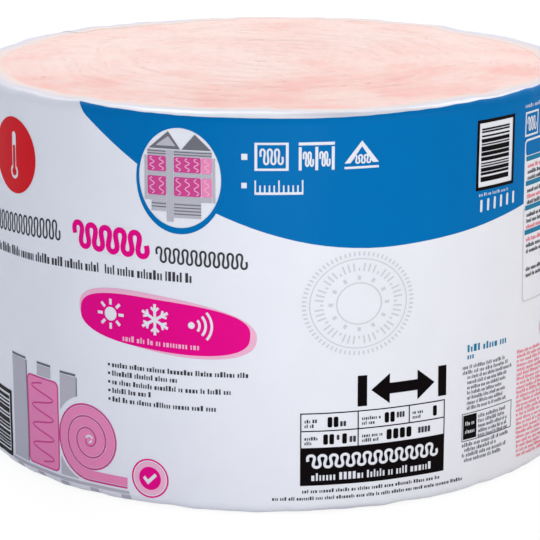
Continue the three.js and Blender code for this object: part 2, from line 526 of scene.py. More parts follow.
def loose_fibres(wool, film):
    """Bundles of fibre that lie on the top end along its turns and lift a little out of it."""
    rng = random.Random(11)
    vertices, faces = [], []
    for _ in range(wool.fibres):
        radius = FACE_RADIUS * sqrt(rng.uniform(0.002, 0.96))
        angle = rng.uniform(0, 2 * pi)
        step = rng.uniform(*FIBRE_LENGTHS) / FIBRE_STEPS
        heading = angle + pi / 2 + rng.gauss(0, 0.45)
        bend = rng.gauss(0, 0.02)
        lift = abs(rng.gauss(0, 0.3))
        x, y, _ = around(radius, angle, 0.0)
        path = []
        for n in range(FIBRE_STEPS + 1):
            here_radius, here_angle = hypot(x, y), atan2(y, x)
            if here_radius > lip_edge(here_angle, film) - FIBRE_CLEAR:
                break
            seam = abs((here_radius / TURN_PITCH - here_angle / (2 * pi) - 0.5) % 1.0)
            z = end_height(here_radius, here_angle, TURN_PITCH * min(seam, 1 - seam), True, wool, film)
            path.append(Vector((x, y, z - 0.12 + (0.2 + lift) * sin(pi * (n / FIBRE_STEPS)))))
            heading += bend * step
            x += cos(heading) * step
            y += sin(heading) * step
        if len(path) >= 4:
            fibre_tube(path, wool.fibre_radius / MM * rng.uniform(0.6, 1.3), vertices, faces)
    return vertices, faces


# --- The film ---------------------------------------------------------------------------------------------

FILM_STEPS = 480
SIDE_ROWS = 48
BEND_ROWS = 6
LIP_ROWS = 3
LIP_LENGTH = LIP_WIDTH - SHOULDER
CUT_EDGE = 0.5

# The lip droops onto the wool near its cut edge, where the tail also lies closer to the head.
LIP_DROOP = 0.3
DROOP_REACH = 4
LAP_EASE = 0.4

# How far below a shoulder the gathers begin, how close the film comes to the floor, and the step that its
# normals are taken over.
GATHER_REACH = 28
FILM_LOWEST = 0.15
NORMAL_STEP = 1.5


def film_relief(angle, up, film):
    """How far the film stands off its true shape, in millimetres: slow waves round the side and small gathers
    that grow towards each lip."""
    way = (cos(angle), sin(angle))
    waves = ring_noise(way, 2.6, up / 95) + 0.8 * ring_noise(way, 6, up / 60 + 4)
    to_lip = max(0.0, up - (UPPER_BEND - GATHER_REACH), (LOWER_BEND + GATHER_REACH) - up) / GATHER_REACH
    puckers = ring_noise(way, 13, up / 60 + 9) + 0.4 * ring_noise(way, 26, up / 40)
    return film.slack / MM * 0.6 * waves + film.pucker / MM * min(1.3, to_lip) ** 2 * puckers


def film_point(across, up, lift, film):
    """A place on the film: across is the way round from the middle of the front, up the height along the
    film, which carries on over the shoulders, and lift the distance out from the film's face."""
    angle = across / FILM_RADIUS - pi / 2
    beyond = max(up - UPPER_BEND, LOWER_BEND - up, 0.0)
    bend = min(beyond, BEND_LENGTH) / SHOULDER
    flat = max(0.0, beyond - BEND_LENGTH)
    sign = 1.0 if up > HEIGHT / 2 else -1.0
    stand = SHOULDER + lift + film_relief(angle, up, film)
    radius = FILM_RADIUS - SHOULDER + stand * cos(bend) - flat
    z = min(max(up, LOWER_BEND), UPPER_BEND) + sign * stand * sin(bend)
    return around(radius, angle, max(z, FILM_LOWEST))


def film_normal(across, up, film):
    """The way out from the film's face at a place on it."""
    here = Vector(film_point(across, up, 0.0, film))
    beside = Vector(film_point(across + NORMAL_STEP, up, 0.0, film)) - here
    above = Vector(film_point(across, up + NORMAL_STEP, 0.0, film)) - here
    return beside.cross(above).normalized()


def film_rows():
    """Heights along the film from the lower lip's edge to the upper lip's edge."""
    lip = [LIP_LENGTH] + [(LIP_LENGTH - CUT_EDGE) * n / LIP_ROWS for n in range(LIP_ROWS, 0, -1)]
    over = [BEND_LENGTH + x for x in lip] + [BEND_LENGTH * n / BEND_ROWS for n in range(BEND_ROWS, 0, -1)]
    side = [LOWER_BEND + (UPPER_BEND - LOWER_BEND) * n / SIDE_ROWS for n in range(SIDE_ROWS + 1)]
    return [LOWER_BEND - x for x in over] + side + [UPPER_BEND + x for x in reversed(over)]


def film_mesh(film):
    """The film as one thin closed body that starts at its head, goes once round and ends a lap later.
    Returns its vertices, its faces and each vertex's distance from the nearer lip's edge."""
    rows = film_rows()
    end, cut, climb = 2 * pi + LAP_LENGTH / FILM_RADIUS, CUT_EDGE / FILM_RADIUS, LAP_CLIMB / FILM_RADIUS
    spare = ceil((end - 2 * pi) / (2 * pi / FILM_STEPS))
    travels = [0.0, cut] + [2 * pi * n / FILM_STEPS for n in range(1, FILM_STEPS)]
    travels += [2 * pi + (end - 2 * pi) * n / spare for n in range(spare)] + [end - cut, end]
    vertices, distances = [], []
    for travel in travels:
        angle = LAP_HEAD + travel
        across = (angle + pi / 2) * FILM_RADIUS
        # The film rises from its first layer where it comes round to its own head.
        rise = film.lap_step / MM * smooth_share((travel - (2 * pi - climb)) / climb)
        stretch = (FILM_RADIUS - SHOULDER - lip_edge(angle, film)) / LIP_LENGTH
        section = []
        for up in rows:
            over = max(up - UPPER_BEND, LOWER_BEND - up, 0.0) - BEND_LENGTH
            if over > 0:
                up += (stretch - 1) * over if up > HEIGHT / 2 else (1 - stretch) * over
            section.append(up)
        to_lip = [min(up - section[0], section[-1] - up) for up in section]
        droops = [1 - smooth_share(near / DROOP_REACH) for near in to_lip]
        lifts = [rise * (1 - LAP_EASE * droop) - LIP_DROOP * droop for droop in droops]
        inner_lifts = [lift - film.thickness / MM for lift in lifts]
        vertices += [film_point(across, up, lift, film) for up, lift in zip(section, lifts)]
        vertices += [film_point(across, up, lift, film) for up, lift in zip(section, inner_lifts)][::-1]
        distances += [near * MM for near in to_lip + to_lip[::-1]]
    ring = 2 * len(rows)
    faces = []
    for k in range(len(travels) - 1):
        for i in range(ring):
            n = (i + 1) % ring
            faces.append((k * ring + i, (k + 1) * ring + i, (k + 1) * ring + n, k * ring + n))
    last = (len(travels) - 1) * ring
    for i in range(len(rows) - 1):
        strip = (i, i + 1, ring - 2 - i, ring - 1 - i)
        faces += [strip, tuple(last + corner for corner in reversed(strip))]
    return vertices, faces, distances


# --- Flat shapes for the print ----------------------------------------------------------------------------
# A shape is a list of loops, and a loop a list of (across, up) points in millimetres. An area is a pair of
# lists: the loops that it fills, and the loops that are left bare in them.

# The longest side of a printed loop, the lift of the print off the film and of one print off another, and the
# points in one loop of a hatch.
PRINT_STEP = 2.6
PRINT_LIFT = 0.25
LAYER_LIFT = 0.12
HATCH_POINTS = 24


def rectangle(left, low, right, high):
    return [(left, low), (right, low), (right, high), (left, high)]


def frame_loops(left, low, right, high, line):
    """A plain frame as an area: its outer edge filled, its inner edge left bare."""
    inner = rectangle(left + line, low + line, right - line, high - line)
    return ([rectangle(left, low, right, high)], [inner])


def spot(x, y, turn, wide, high=None):
    """The point at an angle on a circle or an ellipse round (x, y)."""
    return (x + wide * cos(turn), y + (wide if high is None else high) * sin(turn))


def rounded(left, low, right, high, corner, steps=5):
    corners = ((right, low, -90), (right, high, 0), (left, high, 90), (left, low, 180))
    points = []
    for x, y, start in corners:
        x += corner if x == left else -corner
        y += corner if y == low else -corner
        points += [spot(x, y, radians(start + 90 * n / steps), corner) for n in range(steps + 1)]
    return points


def ellipse(x, y, wide, high=None, steps=40):
    return [spot(x, y, 2 * pi * n / steps, wide, high) for n in range(steps)]


def pebble(x, y, wide, high, tilt, power, steps=96):
    """A fat oval that leans by the tilt, in degrees: the higher its power, the squarer it is."""
    lean = radians(tilt)
    points = []
    for n in range(steps):
        cos_t, sin_t = cos(2 * pi * n / steps), sin(2 * pi * n / steps)
        along = wide * copysign(abs(cos_t) ** (2 / power), cos_t)
        aside = high * copysign(abs(sin_t) ** (2 / power), sin_t)
        points.append((x + along * cos(lean) - aside * sin(lean), y + along * sin(lean) + aside * cos(lean)))
    return points


def stroke(points, width):
    """The outline of a line of even width through the points, with square ends."""
    left, right = [], []
    for n, (x, y) in enumerate(points):
        ax, ay = points[max(n - 1, 0)]
        bx, by = points[min(n + 1, len(points) - 1)]
        size = hypot(bx - ax, by - ay) or 1.0
        dx, dy = -(by - ay) / size * width / 2, (bx - ax) / size * width / 2
        left.append((x + dx, y + dy))
        right.append((x - dx, y - dy))
    return left + right[::-1]


def bezier(first, second, third, fourth, steps=16):
    points = []
    for n in range(steps + 1):
        t = n / steps
        weights = ((1 - t) ** 3, 3 * t * (1 - t) ** 2, 3 * t * t * (1 - t), t**3)
        corners = (first, second, third, fourth)
        points.append(tuple(sum(w * c[axis] for w, c in zip(weights, corners)) for axis in (0, 1)))
    return points


def batt_hatch(left, right, middle, height, loop, width, rise=0.0):
    """The drafting hatch for batts: one smooth line that winds up and down in round loops."""
    loops = max(1, round((right - left) / loop))
    count = loops * HATCH_POINTS
    points = []
    for n in range(count + 1):
        share = n / count
        turn = 2 * pi * loops * share
        x = left + (right - left) * share - 0.16 * loop * sin(2 * turn)
        points.append((x, middle + rise * share + (height - width) / 2 * sin(turn)))
    return stroke(points, width)


def fine_print(rng, left, right, low, height, rise=0.0, bold=0.3):
    """A line of fine print: upright bars in close groups, where the letters of words would stand. Bold is the
    width of a bar as a share of its height."""
    bar = max(0.8, bold * height)
    loops = []
    x = left
    while x + 2 * bar < right:
        for _ in range(rng.randint(2, 8)):
            wide = bar * rng.choice((0.8, 1.0, 1.5))
            if x + wide > right:
                break
            base = low + rise * (x - left) / (right - left)
            tall = height if rng.random() < 0.3 else 0.72 * height
            loops.append(rectangle(x, base, x + wide, base + tall))
            x += wide + 0.75 * bar
        x += 1.2 * bar
    return loops


def figure_bars(left, low, count, wide, tall):
    """Plain rounded bars where the figures of a number would stand."""
    lefts = [left + wide * 1.32 * n for n in range(count)]
    return [rounded(x, low, x + wide, low + tall, wide * 0.3, 2) for x in lefts]


def bar_block(rng, left, low, right, high, bold=1.0):
    """Plain bars of uneven height that lie one above another."""
    loops = []
    y = low
    while y < high:
        bar = bold * rng.choice((0.9, 1.2, 1.8, 2.6, 3.4))
        loops.append(rectangle(left, y, right, min(y + bar, high)))
        y += bar + rng.choice((0.9, 1.2, 1.8, 2.4))
    return loops


def thermometer(x, low, height, width):
    """A bulb with a round-topped stem, as one outline."""
    bulb = width / 2
    stem = bulb * 0.52
    start = asin(stem / bulb)
    turns = [pi / 2 + start + (2 * pi - 2 * start) * n / 20 for n in range(21)]
    top = [spot(x, low + height - stem, pi * n / 8, stem) for n in range(9)]
    return [spot(x, low + bulb, turn, bulb) for turn in turns] + top


def wall_sign(left, low, width, height):
    """A bay of stud wall: two studs, two plates and the hatch of the batt between them."""
    plate, stud = height * 0.085, width * 0.085
    right, high = left + width, low + height
    inner = width - 2 * stud
    start = left + stud + inner * 0.12
    return [
        rectangle(left, low, right, low + plate),
        rectangle(left, high - plate, right, high),
        rectangle(left, low + plate, left + stud, high - plate),
        rectangle(right - stud, low + plate, right, high - plate),
        batt_hatch(start, start + inner * 0.76, low + height / 2, height * 0.6, inner * 0.25, 1.9),
    ]


def floor_sign(left, low, width, height):
    """A deck on three joists, with the hatch of a batt in each gap."""
    deck, joist = height * 0.11, width * 0.085
    gap = (width - joist) / 2
    loops = [rectangle(left, low + height - deck, left + width, low + height)]
    for n in range(3):
        loops.append(rectangle(left + gap * n, low, left + gap * n + joist, low + height - deck - 1.4))
    for n in range(2):
        x = left + gap * n + joist + gap * 0.12
        loops.append(batt_hatch(x, x + gap * 0.56, low + height * 0.4, height * 0.56, gap * 0.28, 1.7))
    return loops


def roof_sign(left, low, width, height):
    """Two rafters that meet at a ridge, with the hatch of a batt between them."""
    middle, right = left + width / 2, left + width
    high, eaves, rafter = low + height, low + height * 0.2, height * 0.15
    rafters = [(left, eaves), (middle, high), (right, eaves)]
    rafters += [(right - rafter * 1.5, eaves), (middle, high - rafter * 1.4), (left + rafter * 1.5, eaves)]
    hatch = batt_hatch(left + width * 0.26, left + width * 0.74, low + height * 0.34, 9.0, width * 0.16, 1.7)
    return [rafters, rectangle(left, low, left + width, low + height * 0.085), hatch]


def sun_sign(x, y, size):
    turns = [pi * n / 4 for n in range(8)]
    rays = [stroke([spot(x, y, turn, size * 0.6), spot(x, y, turn, size)], size * 0.2) for turn in turns]
    return [ellipse(x, y, size * 0.46, steps=24)] + rays


def frost_sign(x, y, size):
    loops = []
    for n in range(6):
        turn = pi * n / 3 + pi / 6
        loops.append(stroke([(x, y), spot(x, y, turn, size)], size * 0.19))
        base = spot(x, y, turn, size * 0.52)
        loops += [stroke([base, spot(*base, turn + lean, size * 0.36)], size * 0.16) for lean in (-0.8, 0.8)]
    return loops


def sound_sign(x, y, size):
    x -= size * 0.8
    turns = [radians(-42 + 84 * k / 10) for k in range(11)]
    waves = [[spot(x, y, turn, size * (0.62 + 0.46 * n)) for turn in turns] for n in range(3)]
    return [ellipse(x, y, size * 0.26, steps=16)] + [stroke(wave, size * 0.2) for wave in waves]


def tick_sign(x, y, size):
    corners = ((-1, 0.05), (-0.7, 0.4), (-0.28, -0.08), (0.7, 0.85), (1, 0.52), (-0.28, -0.75))
    return [(x + size * across, y + size * up) for across, up in corners]


# --- Laying the print on the film -------------------------------------------------------------------------


def fine_loop(loop):
    """The loop with points added so that no side is longer than the print step."""
    points = []
    for (ax, ay), (bx, by) in zip(loop, loop[1:] + loop[:1]):
        steps = max(1, ceil(hypot(bx - ax, by - ay) / PRINT_STEP))
        points += [(ax + (bx - ax) * n / steps, ay + (by - ay) * n / steps) for n in range(steps)]
    return points


def inside(points, loop):
    """Which of the points lie inside the loop."""
    x, y = points[:, 0], points[:, 1]
    result = np.zeros(len(points), dtype=bool)
    corners = np.array(loop)
    low, high = corners.min(axis=0), corners.max(axis=0)
    near = np.nonzero((x >= low[0]) & (x <= high[0]) & (y >= low[1]) & (y <= high[1]))[0]
    if not len(near):
        return result
    px, py = x[near], y[near]
    odd = np.zeros(len(near), dtype=bool)
    for (ax, ay), (bx, by) in zip(corners, np.roll(corners, -1, axis=0)):
        if ay != by:
            odd ^= ((ay > py) != (by > py)) & (px < (bx - ax) * (py - ay) / (by - ay) + ax)
    result[near] = odd
    return result


def area_mask(points, areas):
    """Which of the points the areas cover."""
    mask = np.zeros(len(points), dtype=bool)
    for filled, bare in areas:
        part = np.zeros(len(points), dtype=bool)
        for loop in filled:
            part |= inside(points, loop)
        for loop in bare:
            part &= ~inside(points, loop)
        mask |= part
    return mask


def film_grid_points(low, high):
    """The film's own grid points in a box, so that a printed area bends where the film does."""
    step = 2 * pi * FILM_RADIUS / FILM_STEPS
    head = (LAP_HEAD + pi / 2) * FILM_RADIUS
    places = range(ceil((low[0] - head) / step), floor((high[0] - head) / step) + 1)
    ups = [up for up in film_rows() if low[1] < up < high[1]]
    return [(head + step * n, up) for n in places for up in ups]


def triangulate(areas):
    """Points and triangles that fill the areas."""
    points, edges = [], []
    for filled, bare in areas:
        for loop in list(filled) + list(bare):
            fine = fine_loop(loop)
            start = len(points)
            points += fine
            edges += [(start + n, start + (n + 1) % len(fine)) for n in range(len(fine))]
    for filled, _ in areas:
        for loop in filled:
            corners = np.array(loop)
            low, high = corners.min(axis=0), corners.max(axis=0)
            if min(high - low) > 2 * PRINT_STEP:
                grid = np.array(film_grid_points(low, high))
                if len(grid):
                    points += [tuple(p) for p in grid[inside(grid, loop)]]
    made = delaunay_2d_cdt([Vector(p) for p in points], edges, [], 0, 1e-4)
    flat = np.array([tuple(v) for v in made[0]])
    triangles = np.array(made[2])
    kept = triangles[area_mask(flat[triangles].mean(axis=1), areas)]
    used = np.unique(kept)
    renumber = np.full(len(flat), -1)
    renumber[used] = np.arange(len(used))
    return flat[used], renumber[kept]


def print_on_film(name, layers, lift=PRINT_LIFT):
    """One printed piece. Each layer is an ink and the areas that it covers."""
    film = bpy.context.scene.roll_film
    vertices, normals, faces, inks, ink_of_face = [], [], [], [], []
    for ink, areas in layers:
        flat, triangles = triangulate(areas)
        start = len(vertices)
        vertices += [film_point(x, y, lift, film) for x, y in flat]
        normals += [film_normal(x, y, film) for x, y in flat]
        for a, b, c in triangles.tolist():
            (ax, ay), (bx, by), (cx, cy) = flat[a], flat[b], flat[c]
            turned = (bx - ax) * (cy - ay) - (by - ay) * (cx - ax)
            corners = (a, b, c) if turned > 0 else (a, c, b)
            faces.append(tuple(start + corner for corner in corners))
            ink_of_face.append(len(inks))
        inks.append(ink_material(ink))
    obj = make_object(name, vertices, faces, inks, "wrap_film", ink_of_face)
    obj.data.normals_split_custom_set_from_vertices(normals)


def ink_material(ink):
    """Ink that is pressed on polythene film and dries flat: it takes most of the film's gloss."""
    name = f"printed_film_{ink}"
    if name not in bpy.data.materials:
        return blown_film(name, tuple(getattr(bpy.context.scene.roll_inks, ink)), 0.03)
    return bpy.data.materials[name]


# --- Operators --------------------------------------------------------------------------------------------


class ROLL_OT_wool(bpy.types.Operator):
    """Build the glass wool with its turns at both ends"""

    bl_idname = "insulation_roll.wool"
    bl_label = "Glass wool"

    def execute(self, context):
        wool, film = context.scene.roll_wool, context.scene.roll_film
        material = spun_glass_wool("glass_wool_spun_pink", wool)
        obj = make_object("wool_roll", *wool_mesh(wool, film), [material], "glass_wool")
        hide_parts("glass_wool_roll")
        return {"FINISHED"}


class ROLL_OT_fibres(bpy.types.Operator):
    """Lay loose bundles of fibre on the top end"""

    bl_idname = "insulation_roll.fibres"
    bl_label = "Loose fibres"

    def execute(self, context):
        wool, film = context.scene.roll_wool, context.scene.roll_film
        material = fibre_bundles("glass_fibre_loose_bundles", wool)
        make_object("wool_fibres", *loose_fibres(wool, film), [material], "glass_wool")
        return {"FINISHED"}


class ROLL_OT_film(bpy.types.Operator):
    """Build the film wrap with its curled lips and its lap"""

    bl_idname = "insulation_roll.film"
    bl_label = "Film wrap"

    def execute(self, context):
        film = context.scene.roll_film
        vertices, faces, distances = film_mesh(film)
        # The lip's edge, flat and shoulder colours: each carries painted shade, and the first two also the
        # wool's pink.
        lip_tint_and_painted_shade = [tuple(colour) for colour in (film.blush, film.pale, film.turned)]
        material = blown_film("polythene_blown_white", tuple(film.white), 0.2, lip_tint_and_painted_shade)
        obj = make_object("film_wrap", vertices, faces, [material], "wrap_film")
        obj.data.attributes.new(LIP_DISTANCE, "FLOAT", "POINT").data.foreach_set("value", distances)
        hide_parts("printed_wrap")
        return {"FINISHED"}


# Places on the band that later prints share.
MEDALLION = (-86.6, 319.2)
MEDALLION_FIELD = ellipse(*MEDALLION, 39.4, 46.4, 72)
BAR_PANEL = (203.5, 295.0, 257.5, 362.0)
SIDE_PANEL = (276.5, 214.0, 350.0, 333.5)


def band_outline():
    """The band's lower edge sweeps down from the left and up again, and its top edge follows the shoulder."""
    lower = bezier((-194.7, 381.0), (-116.8, 310.2), (-6.9, 253.5), (102.3, 253.5), 24)
    lower += bezier((102.3, 253.5), (138.7, 253.5), (230.6, 261.0), (300, 276.3))[1:]
    lower += bezier((300, 276.3), (372, 293), (430, 330), (478, 382.0))[1:]
    top = []
    for across in range(466, -185, -12):
        rise = 1.05e-4 * (across - 20) ** 2 + 1.1 * smooth_share((across - 60) / 80)
        top.append((across, min(383.0, 376.2 + rise)))
    return lower + top


class ROLL_OT_band(bpy.types.Operator):
    """Print the blue band with its bare signs, and with room for the medallion and the panels"""

    bl_idname = "insulation_roll.band"
    bl_label = "Blue band"

    def execute(self, context):
        rng = random.Random(3)
        bare = [MEDALLION_FIELD, rectangle(-28.9, 338.5, -23.3, 344.2), rectangle(-28.9, 312.4, -23.9, 317.6)]
        bare += wall_sign(-17, 328.5, 31, 26) + floor_sign(23, 328.5, 33, 26) + roof_sign(65, 328.5, 33, 26)
        # A ruler, the panel of bars and the figures below it.
        bare.append(rectangle(-17, 306.4, 27.4, 308.8))
        for n in range(11):
            tick = 11.0 if n % 5 == 0 else 6.4
            bare.append(rectangle(-17 + n * 4.29, 308.8, -15.5 + n * 4.29, 308.8 + tick))
        bare.append(rectangle(*BAR_PANEL))
        for n in range(6):
            bare.append(rounded(209.8 + n * 9.4, 274.0 + n * 0.3, 213.0 + n * 9.4, 286.0 + n * 0.3, 1.3, 3))
        bare += fine_print(rng, 208, 250, 289.2, 3.2)
        bare += wall_sign(276, 336, 25, 24) + floor_sign(305, 336, 28, 24)
        bare += fine_print(rng, 275, 325, 364, 4.0)
        left, low, right, high = SIDE_PANEL
        header = rounded(left + 2.2, high - 16, right - 2.2, high - 2.2, 3.0, 3)
        areas = [([band_outline()], bare + [rounded(left, low, right, high, 5.0)]), ([header], [])]
        print_on_film("print_blue_band", [("blue", areas)])
        return {"FINISHED"}


class ROLL_OT_medallion(bpy.types.Operator):
    """Print the medallion: a ring round a pictured house frame with batts in the bays of both floors"""

    bl_idname = "insulation_roll.medallion"
    bl_label = "Medallion"

    def execute(self, context):
        x, y = MEDALLION
        walls = (-30.9, -12.7), (-5.1, 30.9)

        def box(left, low, right, high):
            return rectangle(x + left, y + low, x + right, y + high)

        def gable(low, left, ridge, right, high):
            return [(x + left, y + low), (x + right, y + low), (x + ridge, y + high)]

        studs = [box(-34.0, -21.6, -31.4, 19.6), box(-12.2, -41.0, -5.6, 25.6), box(31.4, -21.6, 34.0, 19.6)]
        plates = (20.1, 25.6), (1.4, 5.0), (-21.6, -17.0)
        studs += [box(left, low, right, high) for left, right in walls for low, high in plates]
        studs += [box(-27.0, -31.5, -12.7, -22.1), box(-5.1, -37.0, 20.6, -22.1)]
        boards = [(-5.1, 20.6, -25.0 - 3.0 * n) for n in range(4)]
        boards += [(-27.0, -12.7, -25.0 - 3.0 * n) for n in range(2)]
        boards += [(left, right, low) for left, right in walls for low in (21.2, 23.6)]
        lines = [box(left, low, right, low + 1.1) for left, right, low in boards]
        near, far = gable(26.6, -29.5, -10.5, 1.2, 42.8), gable(26.6, 2.4, 15.0, 30.4, 41.0)
        attic = gable(29.4, -22.8, -10.4, -3.2, 38.4)
        batts, hatches = [], []
        for left, right in ((-30.9, -12.7), (-5.1, 20.6), (21.2, 30.9)):
            count = round((right - left) / 9)
            for low, high in ((-16.6, 1.0), (5.4, 19.7)):
                batts.append(rounded(x + left, y + low, x + right, y + high, 1.2, 3))
                for n in range(count):
                    middle = x + left + (right - left) * (n + 0.5) / count
                    rows = [y + low + 1.2 + (high - low - 2.4) * t / 16 for t in range(17)]
                    wave = [(middle + 2.2 * sin(t * pi / 4), up) for t, up in enumerate(rows)]
                    hatches.append(stroke(wave, 0.9))
        layers = [
            ("blue", [([ellipse(x, y - 1.6, 42.4, 50.6, 72)], [MEDALLION_FIELD])]),
            ("stud", [(studs, lines), ([attic], [])]),
            ("soft", [(lines, []), ([near], [attic]), ([far], [])]),
            ("fuchsia", [(batts[:4], hatches)]),
            ("pink", [(batts[4:], hatches)]),
            ("blush", [(hatches, [])]),
        ]
        print_on_film("print_medallion", layers, PRINT_LIFT + LAYER_LIFT)
        return {"FINISHED"}


class ROLL_OT_bar_panels(bpy.types.Operator):
    """Print the framed panels of plain bars"""

    bl_idname = "insulation_roll.bar_panels"
    bl_label = "Bar panels"

    def execute(self, context):
        rng = random.Random(5)
        left, low, right, high = BAR_PANEL
        bars = (bar_block(rng, left + 6.0, low + 8, right - 8.5, high - 8, 1.35), [])
        areas = [frame_loops(left, low, right, high, 3.2), bars]
        print_on_film("print_bar_panel_right", [("black", areas)], PRINT_LIFT + LAYER_LIFT)
        left, low, right, high = -374.0, 10.5, -307.5, 78.0
        bars = (bar_block(rng, left + 9, low + 6, right - 6, high - 6, 2.0), [])
        print_on_film("print_bar_panel_left", [("black", [frame_loops(left, low, right, high, 4.4), bars])])
        return {"FINISHED"}


class ROLL_OT_titles(bpy.types.Operator):
    """Print the hatch strip, the line of fine print below it and the heat sign at the left"""

    bl_idname = "insulation_roll.titles"
    bl_label = "Hatch strip"

    def execute(self, context):
        rng = random.Random(8)
        thin = [batt_hatch(-344, -219, 247.0, 20, 9.0, 2.0, 8.5)]
        thin.append(batt_hatch(-109, -24.5, 246.6, 15.5, 8.5, 2.0, -3.0))
        bold = [batt_hatch(-198, -119.5, 256.6, 27, 15.5, 5.4, -3.0)]
        thin += fine_print(rng, -342, -170, 217.0, 9.2, 5.6, 0.2)
        thin += fine_print(rng, -164, -74, 222.4, 9.0, -0.6, 0.2)
        print_on_film("print_hatch_strip", [("grey", [(thin, [])]), ("magenta", [(bold, [])])])
        heat = [([ellipse(-289, 317, 37, 37, 56)], [thermometer(-289, 294, 46, 14)])]
        heat.append(([thermometer(-289, 297, 30, 8)], []))
        print_on_film("print_heat_sign_left", [("red", heat)])
        return {"FINISHED"}


class ROLL_OT_badge(bpy.types.Operator):
    """Print the magenta badge with its signs for sun, frost and sound, and the lines below it"""

    bl_idname = "insulation_roll.badge"
    bl_label = "Badge"

    def execute(self, context):
        rng = random.Random(13)
        signs = sun_sign(-159, 184.0, 14.5) + frost_sign(-112, 183.8, 15) + sound_sign(-66, 181.4, 12.6)
        caption = fine_print(rng, -146, -66, 159.6, 5.6, -1.6)
        field = pebble(-107.3, 178.6, 86.5, 24.4, -4.0, 2.7)
        halo = pebble(-105.0, 179.6, 90.5, 27.2, -6.5, 2.4)
        layers = [("magenta", [([field], signs + caption)]), ("blush", [([halo], [field]), (caption, [])])]
        print_on_film("print_badge", layers)
        lines = []
        for n, end in enumerate((-22, -86, -38, -115, -51)):
            low = 132.6 - 8.4 * n
            lines.append(rectangle(-162.6, low + 1.0, -160.2, low + 3.4))
            lines += fine_print(rng, -158.0, end, low, 5.0, 1.0)
        print_on_film("print_bullet_lines", [("grey", [(lines, [])])])
        return {"FINISHED"}


class ROLL_OT_roll_sign(bpy.types.Operator):
    """Print the pictured roll that unwinds along a stud wall, and the small round stamp beside it"""

    bl_idname = "insulation_roll.roll_sign"
    bl_label = "Roll sign"

    def execute(self, context):
        x, y, pitch, turns, end = -187.0, 56.0, 11.5, 3.25, -143.0
        reach = 3.0 + pitch * turns

        def spiral(offset, width):
            points = []
            for n in range(131):
                share = n / 130
                turn = -pi / 2 - 2 * pi * turns + 2 * pi * turns * share
                points.append(spot(x, y, turn, 3.0 + pitch * turns * share + offset))
            return stroke(points + [(end, points[-1][1])], width)

        edge, batt = spiral(0.0, 1.9), spiral(-pitch / 2, pitch - 3.0)
        clear = [ellipse(x, y, reach + 2.4, steps=60)]
        clear.append(rectangle(x, y - reach - 3, -141, y - reach + pitch + 2))
        bays = ((-302.5, -276.5, 14.5, 117.0), (-257.5, -236.5, 106.5, 117.0), (-223.0, -202.0, 14.5, 115.0))
        studs = [rectangle(left, low, right, high) for left, right, low, high in bays]
        caps = [rectangle(left, high + 0.8, right, high + 3.2) for left, right, _, high in bays]
        caps += [rectangle(right + 0.5, low, right + 1.7, high) for _, right, low, high in bays[::2]]
        outside, within = rounded(-274.6, 15.0, -225.4, 105.5, 6.0), rounded(-273.0, 16.6, -227.0, 103.9, 4.8)
        wave = stroke([(-250.0 + 17 * sin(t * pi / 6), 20.6 + 1.65 * t) for t in range(49)], 1.7)
        deck = [rectangle(-305.5, 9.5, -141, 12.6)]
        deck += [rectangle(-298 + 37 * n, 3.0, -288 + 37 * n, 8.6) for n in range(5)]
        layers = [
            ("fuchsia", [([edge], []), ([wave], []), ([outside], [within])]),
            ("pink", [([batt], []), ([within], [wave])]),
            ("stud", [(studs, clear), (deck, [])]),
            ("soft", [(caps, clear)]),
        ]
        print_on_film("print_roll_sign", layers)
        outer, inner, field = (ellipse(-118.9, 28.6, radius, radius, 48) for radius in (19.2, 17.6, 16.4))
        disc = ellipse(-118.9, 28.6, 11.4, 11.4, 40)
        rim = [([outer], [inner]), ([disc], [tick_sign(-118.9, 27.8, 7.4)])]
        print_on_film("print_round_stamp", [("magenta", rim), ("blush", [([field], [disc])])])
        return {"FINISHED"}


class ROLL_OT_seal(bpy.types.Operator):
    """Print the faint seal of ticks and petals"""

    bl_idname = "insulation_roll.seal"
    bl_label = "Seal"

    def execute(self, context):
        x, y, wide, high = 80.0, 202.0, 1.06, 0.96

        def spoke(turn, near, far, width):
            return stroke([spot(x, y, turn, r * wide, r * high) for r in (near, far)], width)

        def ring(radius, line):
            return tuple([ellipse(x, y, r * wide, r * high, 72)] for r in (radius, radius - line))

        ticks = [spoke(2 * pi * n / 72, 47.0, 51.0, 1.5) for n in range(72)]
        marks = [spoke(2 * pi * n / 48, 32, 40 if n % 4 else 35, 1.5) for n in range(48)]
        petals = [spoke(2 * pi * n / 12, 23.5, 27.5, 3.0) for n in range(12)]
        areas = [(ticks + marks + petals, []), ring(44.5, 1.0), ring(20.8, 1.1)]
        print_on_film("print_seal", [("faint", areas)])
        return {"FINISHED"}


